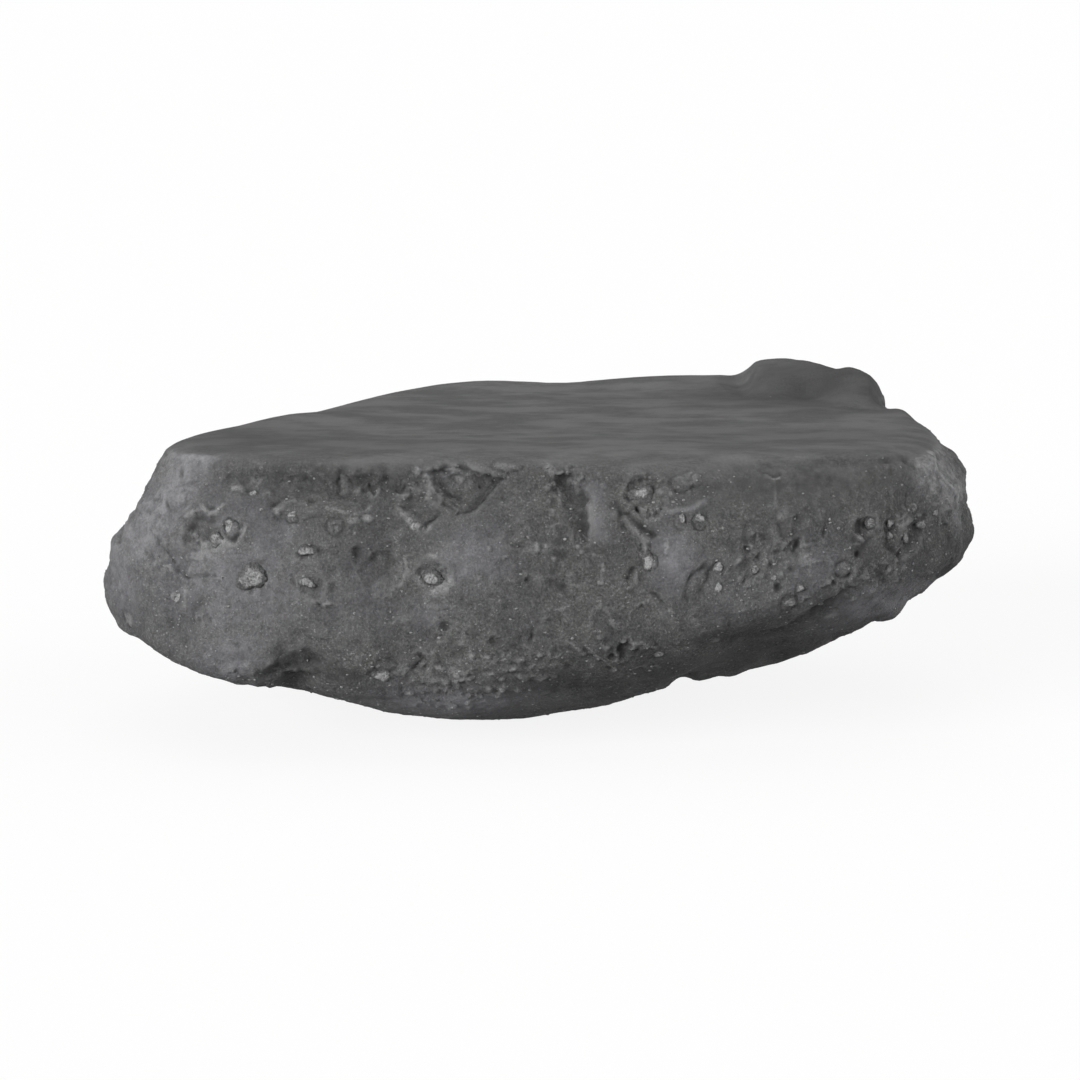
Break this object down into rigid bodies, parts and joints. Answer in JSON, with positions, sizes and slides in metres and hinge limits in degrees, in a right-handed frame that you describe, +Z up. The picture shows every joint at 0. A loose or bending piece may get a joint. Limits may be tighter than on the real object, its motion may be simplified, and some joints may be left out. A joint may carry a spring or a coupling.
{
  "type": "basalt massage stone",
  "caption": "Natural dark basalt massage stone with a flat, rubbed top, pitted flanks holding pale mineral grains and a small flat foot.",
  "frame": {"origin": "on the ground under the middle of the stone's box", "axes": "+X along the stone, +Y to the back, +Z up"},
  "size_m": [0.1102, 0.058, 0.0413],
  "materials": {
    "basalt": "matte, weathered and finely pitted dark grey basalt, rubbed smoother on top",
    "pale_mineral": "pale grey mineral filling of gas holes, dull"
  },
  "bodies": {
    "root": {"stone_body": "basalt", "left_tip_grain": "pale_mineral", "big_pit_grain": "pale_mineral", "small_ring_grain": "pale_mineral", "left_knobbly_grain": "pale_mineral", "upper_left_grain": "pale_mineral", "left_streak_grain": "pale_mineral", "lens_grain": "pale_mineral", "lens_lower_grain": "pale_mineral", "tongue_grain": "pale_mineral", "ring_pit_grain": "pale_mineral", "lower_nodule_grain": "pale_mineral", "round_pit_grain": "pale_mineral", "bright_grain": "pale_mineral", "bright_grain_neighbour": "pale_mineral", "fork_grain": "pale_mineral", "groove_upper_grain": "pale_mineral", "groove_lower_grain": "pale_mineral", "patch_grain": "pale_mineral", "patch_small_grain": "pale_mineral", "patch_round_grain": "pale_mineral", "patch_right_grain": "pale_mineral", "right_pit_grain": "pale_mineral", "hollow_upper_grain": "pale_mineral", "hollow_middle_grain": "pale_mineral", "hollow_tall_grain": "pale_mineral", "hollow_bright_grain": "pale_mineral", "hollow_outer_grain": "pale_mineral", "hollow_high_grain": "pale_mineral", "undercut_grain": "pale_mineral"}
  },
  "joints": []
}
